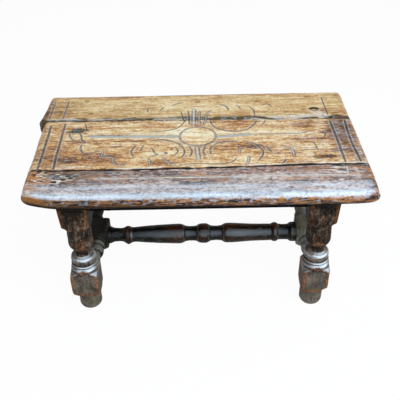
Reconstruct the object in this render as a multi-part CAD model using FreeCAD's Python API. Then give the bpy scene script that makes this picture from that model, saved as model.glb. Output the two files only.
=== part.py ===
import FreeCAD, Part
import math
import os

# Low joined stool: a top of three edge-jointed boards with a moulded edge, four turned legs,
# four rails under the top, two turned side stretchers and a turned middle stretcher, all held
# by wooden pegs. Lengths are in millimetres. +X runs along the stool, +Y points to its back and
# +Z up. The origin lies on the floor, under the middle of the top.

# Whole stool
top_length = 469.0
top_depth = 275.0
top_thickness = 26.0
stool_height = 214.0

# Boards of the top
front_board_depth = 61.5
back_board_depth = 85.5
board_gap = 0.8
board_end_step = 9.5
back_board_skew = 1.8
right_end_skew = 5.0
front_left_corner = 26.0
front_right_corner = 20.0
back_corner = 11.0
joint_corner = 9.0
board_arris = 1.5
corner_spare = 0.2
nosing_depth = 28.0
nosing_drop = 13.0
nosing_tuck = 16.0
nosing_rise = 12.5
end_run = 9.0
end_drop = 12.0
end_tuck = 10.0
end_rise = 12.0
back_run = 7.0
back_drop = 8.0
back_tuck = 4.0
back_rise = 5.0

# Dowels that hold the boards edge to edge
dowel_radius = 4.0
dowel_depth = 14.0
dowel_place_shares = (-0.7, 0.0, 0.7)

# Legs
leg_width = 37.3
left_overhang = 49.35
right_overhang = 50.85
front_overhang = 7.0
back_overhang = 4.0
foot_radius = 15.5
foot_sole_radius = 6.5
foot_round = 11.5
foot_bulge_share = 0.18
foot_height = 31.8
foot_shoulder = 4.5
lower_block_top = 70.5
lower_shoulder = 12.0
upper_block_bottom = 161.6
upper_shoulder = 11.0
shoulder_hollow = 2.0
turning_spare = 0.7
lower_collar_radius = 17.5
thin_ring_radius = 18.0
thin_ring_width = 3.4
quirk_depth = 1.3
quirk_width = 0.7
torus_radius = 17.0
torus_width = 12.5
torus_seat_radius = 14.0
neck_radius = 10.8
neck_rise = 4.0
cup_base_height = 112.3
cup_base_radius = 12.6
cup_round = 11.0
cup_radius = 17.1
cup_top_radius = 15.4

# Rails under the top
rail_thickness = 16.0
end_rail_height = 28.0
long_rail_height = 16.0
long_rail_setback = 19.0
rail_tenon_thickness = 8.0
rail_tenon_length = 13.0
rail_tenon_shoulder = 3.0

# Stretchers
stretcher_height = 36.0
stretcher_block_width = 34.0
stretcher_block_length = 36.0
stretcher_outset = 3.0
stretcher_shift = 3.0
stretcher_tenon_radius = 4.0
stretcher_tenon_length = 15.0
block_shoulder = 4.5

# Turnings of a side stretcher, from its block to its end
side_collar_radius = 15.0
side_bead_radius = 13.0
side_bead_width = 9.0
side_quirk_radius = 10.2
side_torus_radius = 12.8
side_torus_width = 13.5
side_vase_radius = 10.2
side_vase_end_radius = 8.0
side_ring_radius = 10.2
side_ring_width = 5.0
side_end_length = 4.0
side_end_radius = 8.5

# Turnings of the middle stretcher, from its middle to one end
bulb_radius = 15.5
bulb_half_width = 8.3
bulb_edge_radius = 12.6
mid_neck_edge_radius = 12.0
mid_neck_radius = 10.8
mid_neck_width = 14.4
mid_fillet = 1.2
mid_fillet_radius = 13.0
vase_shoulder = 12.5
vase_radius = 15.7
vase_middle_radius = 14.2
vase_end_radius = 11.6
mid_ring_radius = 15.0
mid_ring_seat_radius = 12.2
mid_ring_width = 7.0
mid_ring_to_end = 31.3
mid_collar_radius = 16.6
mid_collar_edge_radius = 15.6
left_collar_width = 5.0
right_collar_width = 10.5
mid_collar_seat_radius = 13.0

# Pegs
fit_gap = 0.1
end_gap = 0.3
rail_peg_radius = 3.0
rail_peg_inset = 6.5
stretcher_peg_radius = 2.5
stretcher_peg_inset = 7.0
blind_peg_length = 24.0
top_peg_radius = 4.0
top_peg_depth = 12.0
leg_peg_outset = 11.0
front_peg_place_shares = (-0.52, 0.055, 0.61)
back_peg_place_shares = (-0.6, 0.0, 0.58)
end_rail_peg_place_shares = (-0.52, 0.2, 0.78)
overrun = 5.0

# Places worked out from the sizes above
half_length = top_length / 2
half_depth = top_depth / 2
left_end = -half_length + board_end_step
leg_half = leg_width / 2
leg_height = stool_height - top_thickness
leg_left = left_end + left_overhang + leg_half
leg_right = half_length - right_overhang - leg_half
leg_front = -half_depth + front_overhang + leg_half
leg_back = half_depth - back_overhang - leg_half
frame_x = (leg_left + leg_right) / 2
frame_y = (leg_front + leg_back) / 2
front_joint = -half_depth + front_board_depth
back_joint = half_depth - back_board_depth
stretcher_half = stretcher_block_width / 2
stretcher_left = leg_left - stretcher_outset + stretcher_shift
stretcher_right = leg_right + stretcher_outset + stretcher_shift
stretcher_x = (stretcher_left + stretcher_right) / 2
mid_half = (stretcher_right - stretcher_left) / 2 - stretcher_half
leg_span = (leg_right - leg_left) / 2
leg_reach = (leg_back - leg_front) / 2
side_half = leg_reach - leg_half
long_rail_reach = leg_reach + leg_half - long_rail_setback - rail_thickness / 2
side_names = {"left": (leg_left, stretcher_left, -1), "right": (leg_right, stretcher_right, 1)}
depth_names = {"front": (leg_front, -1), "back": (leg_back, 1)}


def box(x_range, y_range, z_range):
    lows = [min(x_range), min(y_range), min(z_range)]
    spans = [abs(r[1] - r[0]) for r in (x_range, y_range, z_range)]
    return Part.makeBox(*spans, FreeCAD.Vector(*lows))


def rod(radius, start, end):
    along = end - start
    return Part.makeCylinder(radius, along.Length, start, along)


def corner_curve(start, corner, end):
    # A quarter ellipse that leaves start and reaches end along the two sides of the corner
    curve = Part.BezierCurve()
    curve.setPoles([start, corner, end])
    curve.setWeight(2, math.sqrt(0.5))
    return curve.toShape()


def solid_between(edges, sweep):
    wire = Part.Wire(Part.__sortEdges__(edges))
    return Part.Face(wire).extrude(sweep)


def moulded_outline(point, low, high, low_shape, high_shape):
    # Section of a board between two moulded sides; each shape is (run, drop, tuck, rise)
    edges = []
    ends = []
    for place, shape, inward in ((low, low_shape, 1), (high, high_shape, -1)):
        run, drop, tuck, rise = shape
        sole = point(place + inward * tuck, 0)
        under = point(place, rise)
        over = point(place, top_thickness - drop)
        crown = point(place + inward * run, top_thickness)
        edges.append(corner_curve(sole, point(place, 0), under))
        edges.append(Part.makeLine(under, over))
        edges.append(corner_curve(over, point(place, top_thickness), crown))
        ends.append((sole, crown))
    edges.append(Part.makeLine(ends[0][0], ends[1][0]))
    edges.append(Part.makeLine(ends[0][1], ends[1][1]))
    return edges


def end_prism(left_front, left_back):
    # The whole top as its two moulded ends bound it, each end out of square by its own skew
    shape = (end_run, end_drop, end_tuck, end_rise)
    far = half_length + board_end_step + overrun

    def at(x, z):
        return FreeCAD.Vector(x, -half_depth, z)

    right_sweep = FreeCAD.Vector(-right_end_skew, top_depth, 0)
    left_sweep = FreeCAD.Vector(left_back - left_front, top_depth, 0)
    right = solid_between(moulded_outline(at, -far, half_length, shape, shape), right_sweep)
    left = solid_between(moulded_outline(at, left_front, far, shape, shape), left_sweep)
    return right.common(left)


def plan_prism(low_left, low_right, high_right, high_left):
    # A plan with rounded corners, a little larger than the top; each corner is (x, y, radius)
    corners = [low_left, low_right, high_right, high_left]
    outward = [(-1, -1), (1, -1), (1, 1), (-1, 1)]
    points = []
    for (x, y, _), (side, depth_side) in zip(corners, outward):
        grown = (x + side * corner_spare, y + depth_side * corner_spare, 0)
        points.append(FreeCAD.Vector(*grown))
    edges = []
    for i, (corner, (_, _, radius)) in enumerate(zip(points, corners)):
        to_last = (points[i - 1] - corner).normalize()
        to_next = (points[(i + 1) % len(points)] - corner).normalize()
        edges.append(corner_curve(corner + to_last * radius, corner, corner + to_next * radius))
    for i, edge in enumerate(edges[:]):
        following = edges[(i + 1) % len(points)]
        edges.append(Part.makeLine(edge.Vertexes[-1].Point, following.Vertexes[0].Point))
    return solid_between(edges, FreeCAD.Vector(0, 0, top_thickness))


def right_end_at(y):
    return half_length - right_end_skew * (y + half_depth) / top_depth


def board_blank(y_range, left_front, left_back, near, near_left_corner, near_right_corner):
    # One board, cut from a top whose plan runs from the near line to the back edge; it is shaped
    # with its underside at height 0 and then lifted onto the legs
    near_left = left_front + (left_back - left_front) * (near + half_depth) / top_depth
    plan = plan_prism(
        (near_left, near, near_left_corner),
        (right_end_at(near), near, near_right_corner),
        (right_end_at(half_depth), half_depth, back_corner),
        (left_back, half_depth, back_corner))
    span = half_length + overrun
    strip = box((-span, span), y_range, (-overrun, top_thickness + overrun))

    def at(y, z):
        return FreeCAD.Vector(-half_length - overrun, y, z)

    nosing = (nosing_depth, nosing_drop, nosing_tuck, nosing_rise)
    back_edge = (back_run, back_drop, back_tuck, back_rise)
    outline = moulded_outline(at, -half_depth, half_depth, nosing, back_edge)
    slab = solid_between(outline, FreeCAD.Vector(top_length + 2 * overrun, 0, 0))
    blank = slab.common(strip).common(plan).common(end_prism(left_front, left_back))
    return blank.translate(FreeCAD.Vector(0, 0, leg_height))


def dowels(joint, grow):
    z = leg_height + top_thickness / 2
    reach = dowel_depth + grow * end_gap
    found = []
    for share in dowel_place_shares:
        x = frame_x + share * leg_span
        start = FreeCAD.Vector(x, joint - reach, z)
        end = FreeCAD.Vector(x, joint + reach, z)
        found.append(rod(dowel_radius + grow * fit_gap, start, end))
    return found


def top_peg_sites():
    # Pegs driven from above into the legs and the rails under each board
    sites = {"front": [], "middle": [], "back": []}
    for row, shares in (("front", front_peg_place_shares), ("back", back_peg_place_shares)):
        y_leg, outward = depth_names[row]
        for share in shares:
            sites[row].append((frame_x + share * leg_span, long_rail_y(outward)))
        for x_leg, _, side in side_names.values():
            sites[row].append((x_leg + side * leg_peg_outset, y_leg))
    for share in end_rail_peg_place_shares:
        y = frame_y + share * side_half
        row = "middle" if y < back_joint else "back"
        for x_leg, _, _ in side_names.values():
            sites[row].append((x_leg, y))
    return sites


def top_pegs(sites, grow):
    bottom = leg_height - top_peg_depth - grow * end_gap
    top = stool_height + grow * overrun
    radius = top_peg_radius + grow * fit_gap
    return [rod(radius, FreeCAD.Vector(x, y, bottom), FreeCAD.Vector(x, y, top)) for x, y in sites]


def cut_all(shape, tools):
    for tool in tools:
        shape = shape.cut(tool)
    return shape


def turning(outline):
    # Solid of revolution about Z; each entry is (radius, height) or (bulge point, end point)
    at = [FreeCAD.Vector(outline[0][0], 0, outline[0][1])]
    edges = []
    for entry in outline[1:]:
        if isinstance(entry[0], tuple):
            bulge, goal = [FreeCAD.Vector(r, 0, z) for r, z in entry]
            edges.append(Part.Arc(at[-1], bulge, goal).toShape())
        else:
            goal = FreeCAD.Vector(entry[0], 0, entry[1])
            edges.append(Part.makeLine(at[-1], goal))
        at.append(goal)
    edges.append(Part.makeLine(at[-1], at[0]))
    face = Part.Face(Part.Wire(edges))
    return face.revolve(FreeCAD.Vector(0, 0, 0), FreeCAD.Vector(0, 0, 1), 360)


def mid_point(a, b, bulge):
    # Middle of a chord, moved outward by the bulge
    return ((a[0] + b[0]) / 2 + bulge, (a[1] + b[1]) / 2)


def leg_outline():
    full = leg_half * math.sqrt(2) + turning_spare
    foot_side = (foot_radius, foot_round)
    sole = (foot_sole_radius, 0)
    toe = mid_point(sole, foot_side, foot_round * foot_bulge_share)
    collar_at = lower_block_top + lower_shoulder
    ring_low = collar_at + quirk_width
    ring_high = ring_low + thin_ring_width
    ring_seat = thin_ring_radius - quirk_depth
    torus_low = ring_high + quirk_width
    torus_high = torus_low + torus_width
    neck_low = torus_high + neck_rise
    cup_base = (cup_base_radius, cup_base_height)
    cup_side = (cup_radius, cup_base_height + cup_round)
    shoulder_foot = upper_block_bottom - upper_shoulder
    cup_top = shoulder_foot - quirk_width
    low_corner = (full, lower_block_top)
    low_collar = (lower_collar_radius, collar_at)
    high_collar = (cup_top_radius, shoulder_foot)
    high_corner = (full, upper_block_bottom)
    return [
        (0, 0),
        sole,
        (toe, foot_side),
        (foot_radius, foot_height),
        (leg_half - quirk_depth, foot_height),
        (full, foot_height + foot_shoulder),
        low_corner,
        (mid_point(low_corner, low_collar, -shoulder_hollow), low_collar),
        (ring_seat, collar_at),
        (ring_seat, ring_low),
        ((thin_ring_radius, (ring_low + ring_high) / 2), (ring_seat, ring_high)),
        (torus_seat_radius, ring_high),
        (torus_seat_radius, torus_low),
        ((torus_radius, (torus_low + torus_high) / 2), (torus_seat_radius, torus_high)),
        (neck_radius, neck_low),
        (neck_radius, cup_base_height),
        cup_base,
        (mid_point(cup_base, cup_side, quirk_depth), cup_side),
        (cup_top_radius, cup_top),
        high_collar,
        (mid_point(high_collar, high_corner, -shoulder_hollow), high_corner),
        (full, leg_height),
        (0, leg_height),
    ]


def long_rail_y(outward):
    return frame_y + outward * long_rail_reach


def leg(x, y, side, outward, sites):
    square = box((x - leg_half, x + leg_half), (y - leg_half, y + leg_half), (0, leg_height))
    turned = turning(leg_outline()).translate(FreeCAD.Vector(x, y, 0))
    body = square.common(turned)
    body = cut_all(body, rail_tenons_at(x, y, side, outward, 1))
    body = cut_all(body, [stretcher_tenon(side, outward, 1)])
    body = cut_all(body, leg_pegs(x, y, side, outward, 1))
    return cut_all(body, top_pegs(sites, 1))


def rail_tenons_at(x, y, side, outward, grow):
    # Tenons of the long rail and the end rail that meet in one leg
    slack = grow * fit_gap
    half = rail_tenon_thickness / 2 + slack
    reach = rail_tenon_length + grow * end_gap
    inner_x = x - side * leg_half
    inner_y = y - outward * leg_half
    rail_y = long_rail_y(outward)
    top = leg_height - rail_tenon_shoulder + slack
    low_long = leg_height - long_rail_height + rail_tenon_shoulder - slack
    low_end = leg_height - end_rail_height + rail_tenon_shoulder - slack
    long_tenon = box((inner_x, inner_x + side * reach), (rail_y - half, rail_y + half), (low_long, top))
    end_tenon = box((x - half, x + half), (inner_y, inner_y + outward * reach), (low_end, top))
    return [long_tenon, end_tenon]


def leg_pegs(x, y, side, outward, grow):
    # Pegs through the two rail tenons and the stretcher tenon, driven in from the leg's outer faces
    slack = grow * fit_gap
    long_z = leg_height - long_rail_height / 2
    start_y = y + outward * (leg_half + grow * overrun)
    long_x = x - side * (leg_half - rail_peg_inset)
    end_y = y + outward * (leg_half - blind_peg_length - grow * end_gap)
    start_x = x + side * (leg_half + grow * overrun)
    end_x = x + side * (leg_half - blind_peg_length - grow * end_gap)
    rail_y = y - outward * (leg_half - rail_peg_inset)
    tenon_y = y - outward * (leg_half - stretcher_peg_inset)
    long_peg = rod(rail_peg_radius + slack,
                   FreeCAD.Vector(long_x, start_y, long_z), FreeCAD.Vector(long_x, end_y, long_z))
    end_peg = rod(rail_peg_radius + slack,
                  FreeCAD.Vector(start_x, rail_y, long_z), FreeCAD.Vector(end_x, rail_y, long_z))
    low_peg = rod(stretcher_peg_radius + slack,
                  FreeCAD.Vector(start_x, tenon_y, stretcher_height),
                  FreeCAD.Vector(end_x, tenon_y, stretcher_height))
    return [long_peg, end_peg, low_peg]


def long_rail(outward, sites):
    y = long_rail_y(outward)
    half = rail_thickness / 2
    inner = (leg_left + leg_half, leg_right - leg_half)
    rail = box(inner, (y - half, y + half), (leg_height - long_rail_height, leg_height))
    y_leg = frame_y + outward * leg_reach
    for x_leg, _, side in side_names.values():
        rail = rail.fuse(rail_tenons_at(x_leg, y_leg, side, outward, 0)[0])
        rail = rail.cut(leg_pegs(x_leg, y_leg, side, outward, 1)[0])
    return cut_all(rail, top_pegs(sites, 1)).removeSplitter()


def end_rail(x, side, sites):
    half = rail_thickness / 2
    rail = box((x - half, x + half), (frame_y - side_half, frame_y + side_half),
               (leg_height - end_rail_height, leg_height))
    for y_leg, outward in depth_names.values():
        rail = rail.fuse(rail_tenons_at(x, y_leg, side, outward, 0)[1])
        rail = rail.cut(leg_pegs(x, y_leg, side, outward, 1)[1])
    return cut_all(rail, top_pegs(sites, 1)).removeSplitter()


def stretcher_tenon(side, outward, grow):
    x = stretcher_right if side > 0 else stretcher_left
    start = FreeCAD.Vector(x, frame_y + outward * side_half, stretcher_height)
    reach = outward * (stretcher_tenon_length + grow * end_gap)
    return rod(stretcher_tenon_radius + grow * fit_gap, start, start + FreeCAD.Vector(0, reach, 0))


def end_to_end(low_half, high_half):
    # Two outlines that run equally far outwards from the middle, the first one laid below it
    lower = []
    last = low_half[0]
    for entry in low_half[1:]:
        if isinstance(entry[0], tuple):
            bulge, goal = entry
            lower.append(((bulge[0], -bulge[1]), (last[0], -last[1])))
            last = goal
        else:
            lower.append((last[0], -last[1]))
            last = entry
    lower.reverse()
    start = (last[0], -last[1])
    return [(0, start[1]), start] + lower + high_half[1:] + [(0, last[1])]


def side_stretcher_outline():
    full = stretcher_half * math.sqrt(2) + turning_spare
    square_end = stretcher_block_length / 2
    bead_low = square_end + block_shoulder
    bead_high = bead_low + side_bead_width
    torus_low = bead_high + quirk_width
    torus_high = torus_low + side_torus_width
    ring_high = side_half - side_end_length
    ring_low = ring_high - side_ring_width
    vase_end = (side_vase_end_radius, ring_low)
    vase_start = (side_quirk_radius - quirk_depth, torus_high)
    bulge = side_vase_radius - (vase_start[0] + vase_end[0]) / 2
    return [
        (full, 0),
        (full, square_end),
        (side_collar_radius, bead_low),
        (side_quirk_radius, bead_low),
        ((side_bead_radius, (bead_low + bead_high) / 2), (side_quirk_radius, bead_high)),
        (side_quirk_radius, torus_low),
        ((side_torus_radius, (torus_low + torus_high) / 2), (side_quirk_radius, torus_high)),
        vase_start,
        (mid_point(vase_start, vase_end, bulge), vase_end),
        ((side_ring_radius, (ring_low + ring_high) / 2), (side_end_radius, ring_high)),
        (side_end_radius, side_half),
    ]


def side_stretcher(x_leg, x, side):
    half_outline = side_stretcher_outline()
    body = turning(end_to_end(half_outline, half_outline))
    span = (-stretcher_half, stretcher_half)
    square = box(span, span, (-side_half, side_half))
    body = body.common(square)
    body.rotate(FreeCAD.Vector(0, 0, 0), FreeCAD.Vector(1, 0, 0), -90)
    body.translate(FreeCAD.Vector(x, frame_y, stretcher_height))
    for y_leg, outward in depth_names.values():
        body = body.fuse(stretcher_tenon(side, outward, 0))
        body = body.cut(leg_pegs(x_leg, y_leg, side, outward, 1)[2])
    body = body.cut(middle_tenon(side, 1)).cut(middle_peg(side, 1))
    return body.removeSplitter()


def middle_tenon(side, grow):
    start = FreeCAD.Vector(stretcher_x + side * mid_half, frame_y, stretcher_height)
    reach = side * (stretcher_tenon_length + grow * end_gap)
    return rod(stretcher_tenon_radius + grow * fit_gap, start, start + FreeCAD.Vector(reach, 0, 0))


def middle_peg(side, grow):
    # Peg driven up through the side stretcher's block and the middle stretcher's tenon
    x = stretcher_x + side * (mid_half + stretcher_peg_inset)
    low = stretcher_height - stretcher_half
    start = FreeCAD.Vector(x, frame_y, low - grow * overrun)
    end = FreeCAD.Vector(x, frame_y, low + blind_peg_length + grow * end_gap)
    return rod(stretcher_peg_radius + grow * fit_gap, start, end)


def middle_stretcher_outline(collar_width):
    neck_start = bulb_half_width + mid_fillet
    neck_end = neck_start + mid_neck_width
    shoulder_start = neck_end + mid_fillet
    vase_start = shoulder_start + vase_shoulder
    ring_middle = mid_half - mid_ring_to_end
    ring_low = ring_middle - mid_ring_width / 2
    ring_high = ring_middle + mid_ring_width / 2
    vase_end = ring_low - mid_fillet
    collar_low = mid_half - collar_width
    crown = (bulb_radius, 0)
    edge = (bulb_edge_radius, bulb_half_width)
    shoulder_low = (mid_fillet_radius, shoulder_start)
    vase_top = (vase_radius, vase_start)
    collar_edge = (mid_collar_edge_radius, collar_low)
    return [
        crown,
        (mid_point(crown, edge, quirk_depth / 2), edge),
        (bulb_edge_radius, neck_start),
        (mid_neck_edge_radius, neck_start),
        ((mid_neck_radius, (neck_start + neck_end) / 2), (mid_neck_edge_radius, neck_end)),
        (mid_fillet_radius, neck_end),
        shoulder_low,
        (mid_point(shoulder_low, vase_top, quirk_depth / 2), vase_top),
        ((vase_middle_radius, (vase_start + vase_end) / 2), (vase_end_radius, vase_end)),
        (mid_ring_seat_radius, vase_end),
        (mid_ring_seat_radius, ring_low),
        ((mid_ring_radius, ring_middle), (mid_ring_seat_radius, ring_high)),
        ((mid_neck_radius, (ring_high + collar_low) / 2), (mid_collar_seat_radius, collar_low)),
        collar_edge,
        ((mid_collar_radius, (collar_low + mid_half) / 2), (mid_collar_edge_radius, mid_half)),
    ]


def middle_stretcher():
    left_half = middle_stretcher_outline(left_collar_width)
    right_half = middle_stretcher_outline(right_collar_width)
    body = turning(end_to_end(left_half, right_half))
    body.rotate(FreeCAD.Vector(0, 0, 0), FreeCAD.Vector(0, 1, 0), 90)
    body.translate(FreeCAD.Vector(stretcher_x, frame_y, stretcher_height))
    for side in (-1, 1):
        body = body.fuse(middle_tenon(side, 0)).cut(middle_peg(side, 1))
    return body.removeSplitter()


def save(name, shapes):
    group = shapes[0] if len(shapes) == 1 else Part.makeCompound(shapes)
    group.exportStep("parts/" + name + ".step")
    print(name, len(group.Solids), round(group.Volume))


def make_boards(sites):
    half_gap = board_gap / 2
    plain = (left_end, left_end, -half_depth, front_left_corner, front_right_corner)
    back_left = -half_length + back_board_skew
    skew_over_top = back_board_skew * top_depth / back_board_depth
    skewed = (back_left - skew_over_top, back_left, back_joint + half_gap, joint_corner, board_arris)
    rows = {
        "front": ((-half_depth - overrun, front_joint - half_gap), plain),
        "middle": ((front_joint + half_gap, back_joint - half_gap), plain),
        "back": ((back_joint + half_gap, half_depth + overrun), skewed),
    }
    for row, (y_range, ends) in rows.items():
        board = board_blank(y_range, *ends)
        for joint in (front_joint, back_joint):
            board = cut_all(board, dowels(joint, 1))
        save("top_board_" + row, [cut_all(board, top_pegs(sites[row], 1))])
    save("dowels_front_joint", dowels(front_joint, 0))
    save("dowels_back_joint", dowels(back_joint, 0))
    for row in sites:
        save("top_pegs_" + row, top_pegs(sites[row], 0))


def make_frame(sites):
    long_pegs = {"front": [], "back": []}
    end_pegs = {"left": [], "right": []}
    low_pegs = {"left": [], "right": []}
    every_site = sites["front"] + sites["middle"] + sites["back"]
    for row, (y, outward) in depth_names.items():
        for name, (x, _, side) in side_names.items():
            save("leg_" + row + "_" + name, [leg(x, y, side, outward, every_site)])
            pegs = leg_pegs(x, y, side, outward, 0)
            long_pegs[row].append(pegs[0])
            end_pegs[name].append(pegs[1])
            low_pegs[name].append(pegs[2])
    for row, (y, outward) in depth_names.items():
        save("rail_" + row, [long_rail(outward, every_site)])
        save("rail_pegs_" + row, long_pegs[row])
    for name, (x, low_x, side) in side_names.items():
        save("rail_" + name, [end_rail(x, side, every_site)])
        save("rail_pegs_" + name, end_pegs[name])
        save("side_stretcher_" + name, [side_stretcher(x, low_x, side)])
        save("side_stretcher_pegs_" + name, low_pegs[name])
    save("middle_stretcher", [middle_stretcher()])
    save("middle_stretcher_pegs", [middle_peg(side, 0) for side in (-1, 1)])


os.makedirs("parts", exist_ok=True)
peg_sites = top_peg_sites()
make_boards(peg_sites)
make_frame(peg_sites)
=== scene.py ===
import math
from itertools import product

import bmesh
import bpy
import numpy as np
from mathutils import Matrix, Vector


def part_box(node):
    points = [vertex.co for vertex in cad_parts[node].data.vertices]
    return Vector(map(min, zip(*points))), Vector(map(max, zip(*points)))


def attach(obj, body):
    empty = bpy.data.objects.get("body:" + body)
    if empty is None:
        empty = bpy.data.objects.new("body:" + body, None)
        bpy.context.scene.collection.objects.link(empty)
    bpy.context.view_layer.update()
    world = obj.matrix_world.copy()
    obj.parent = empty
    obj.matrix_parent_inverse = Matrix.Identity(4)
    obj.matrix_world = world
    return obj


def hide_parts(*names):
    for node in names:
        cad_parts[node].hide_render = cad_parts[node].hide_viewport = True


# Low joined stool in old waxed oak. Shapes are worked out in millimetres, as measured on the
# stool, and turned to metres when a mesh is made. +X runs along the stool, +Y to its back.

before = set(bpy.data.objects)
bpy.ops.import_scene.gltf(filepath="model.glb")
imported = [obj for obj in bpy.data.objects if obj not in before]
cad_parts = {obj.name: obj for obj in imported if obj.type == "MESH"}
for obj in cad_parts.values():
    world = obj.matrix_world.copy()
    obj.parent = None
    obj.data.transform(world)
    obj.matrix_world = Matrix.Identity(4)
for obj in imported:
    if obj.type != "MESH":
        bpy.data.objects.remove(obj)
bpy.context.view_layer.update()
mm = 0.001
scene = bpy.context.scene
print("frame loaded:", len(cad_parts), "nodes")


def nodeBox(node):
    # Lowest and highest corner of a frame node, in millimetres
    return [np.array(corner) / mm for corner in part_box(node)]


def nodeMiddle(node):
    low, high = nodeBox(node)
    return (low + high) / 2


def linear(hexColour):
    # sRGB hex to the linear colour that the nodes take
    parts = [int(hexColour[i:i + 2], 16) / 255 for i in (1, 3, 5)]
    return [c / 12.92 if c <= 0.04045 else ((c + 0.055) / 1.055) ** 2.4 for c in parts] + [1.0]


def ease(t):
    # 0 below 0, 1 above 1 and a soft step between
    t = np.clip(t, 0, 1)
    return t * t * (3 - 2 * t)


def hump(value, middle, reach, power=2):
    # 1 at the middle, falling away on both sides
    return np.exp(-((value - middle) / reach) ** power)


def humps(value, rows, power=2):
    # The highest of several humps, whose rows are (middle, reach, strength)
    return np.max([strength * hump(value, *place, power) for *place, strength in rows], 0)


def along(table, place):
    # A table of (place, value) read at each place, straight from one row to the next
    places, values = zip(*table)
    return np.interp(place, places, values)


def lumps(x, y, z, seed):
    # Soft random field from -1 to 1 with lumps about one unit across, the same on every run
    place = np.stack(np.broadcast_arrays(x, y, z), -1).astype(float)
    cell = np.floor(place).astype(np.int64)
    part = ease(place - cell)
    total = np.zeros(place.shape[:-1])
    for corner in product((0, 1), repeat=3):
        key = (cell + corner) @ np.array([374761393, 668265263, 2147483647]) + seed * 974711
        key = (key ^ (key >> 13)) * 1274126177
        share = np.where(corner, part, 1 - part).prod(-1)
        total += share * (((key ^ (key >> 16)) & 65535) / 32767.5 - 1)
    return total


def addNode(tree, kind, inputs=(), stops=(), **settings):
    # One shader node. Inputs are a row in the order of its sockets, or a dictionary: each is a
    # value, a socket to link, or a node whose first output is linked. Stops are a colour ramp's
    made = tree.nodes.new("ShaderNode" + kind)
    for key, value in settings.items():
        setattr(made, key, value)
    for key, value in (inputs.items() if isinstance(inputs, dict) else enumerate(inputs)):
        if isinstance(value, bpy.types.Node):
            value = value.outputs[0]
        if isinstance(value, bpy.types.NodeSocket):
            tree.links.new(value, made.inputs[key])
        else:
            made.inputs[key].default_value = value
    for i, (place, colour) in enumerate(stops):
        stop = made.color_ramp.elements[i] if i < 2 else made.color_ramp.elements.new(place)
        stop.position = place
        stop.color = linear(colour)
    return made


def freshTree(owner):
    # The emptied node tree of a material or a world
    owner.use_nodes = True
    owner.node_tree.nodes.clear()
    return owner.node_tree


def addObject(name, data):
    made = bpy.data.objects.new(name, data)
    scene.collection.objects.link(made)
    return made


def loft(name, skins, material, nodes):
    # Closed skins, each over a row of closed rings, as one mesh. A skin is its rings and its marks,
    # which hold one value a point under each name
    points, faces, start = [], [], 0
    for rings, _ in skins:
        count, around, _ = rings.shape
        index = np.arange(count * around).reshape(count, around) + start
        low, high = index[:-1], index[1:]
        quads = np.stack([low, np.roll(low, -1, 1), np.roll(high, -1, 1), high], -1).reshape(-1, 4)
        faces += quads.tolist() + [index[0].tolist(), index[-1].tolist()]
        points.append(rings.reshape(-1, 3))
        start += count * around
    mesh = bpy.data.meshes.new(name)
    mesh.from_pydata((np.concatenate(points) * mm).tolist(), [], faces)
    for key in skins[0][1]:
        values = np.concatenate([np.ravel(marks[key]) for _, marks in skins])
        layer = mesh.attributes.new(key, "FLOAT", "POINT")
        layer.data.foreach_set("value", np.ascontiguousarray(values, np.float32))
    work = bmesh.new()
    work.from_mesh(mesh)
    bmesh.ops.recalc_face_normals(work, faces=work.faces)
    work.to_mesh(mesh)
    work.free()
    mesh.shade_smooth()
    mesh.materials.append(material)
    piece = addObject(name, mesh)
    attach(piece, "root")
    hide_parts(*nodes)


# Camera, where the photograph was taken from: a hand held look down on the stool
cameraSet = {"x": 11.94, "y": -752.52, "z": 668.13, "turn": 0.517, "down": 36.919, "roll": 1.387,
             "lens": 55.76, "sensor": 36.0}

cameraData = bpy.data.cameras.new("camera")
cameraData.sensor_width = cameraSet["sensor"]
cameraData.lens = cameraSet["lens"]
camera = addObject("camera", cameraData)
camera.matrix_world = (
    Matrix.Translation([cameraSet[axis] * mm for axis in "xyz"])
    @ Matrix.Rotation(math.radians(cameraSet["turn"]), 4, "Z")
    @ Matrix.Rotation(math.radians(90 - cameraSet["down"]), 4, "X")
    @ Matrix.Rotation(math.radians(-cameraSet["roll"]), 4, "Z"))
scene.camera = camera

# White sweep and soft window light; a lamp's power is its brightness times its area times pi
stageSet = {"floorSize": 8.0, "floorDrop": 0.0002, "seenWhite": 0.96, "fill": 0.24}
lampSet = {
    "window": {"place": (0.42, -0.85, 1.25), "size": (1.1, 0.9), "brightness": 4.2, "colour": "#e6f0ff"},
    "pane": {"place": (0.44, -0.78, 1.14), "size": (0.55, 0.22), "brightness": 15.0, "colour": "#e2edff"},
    "sideDoor": {"place": (1.3, -0.3, 0.42), "size": (0.6, 0.5), "brightness": 4.0, "colour": "#eef4ff"},
    "roomTop": {"place": (-0.2, 0.55, 1.2), "size": (0.9, 0.7), "brightness": 1.5, "colour": "#fff6e8"},
}


def whiteSeen(tree):
    # 1 for rays that see the white backdrop itself, straight, in a reflection or through glass
    path = addNode(tree, "LightPath").outputs
    seen = path["Is Camera Ray"]
    for ray in ("Is Glossy Ray", "Is Transmission Ray"):
        seen = addNode(tree, "Math", (seen, path[ray]), operation="MAXIMUM")
    return seen


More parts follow.
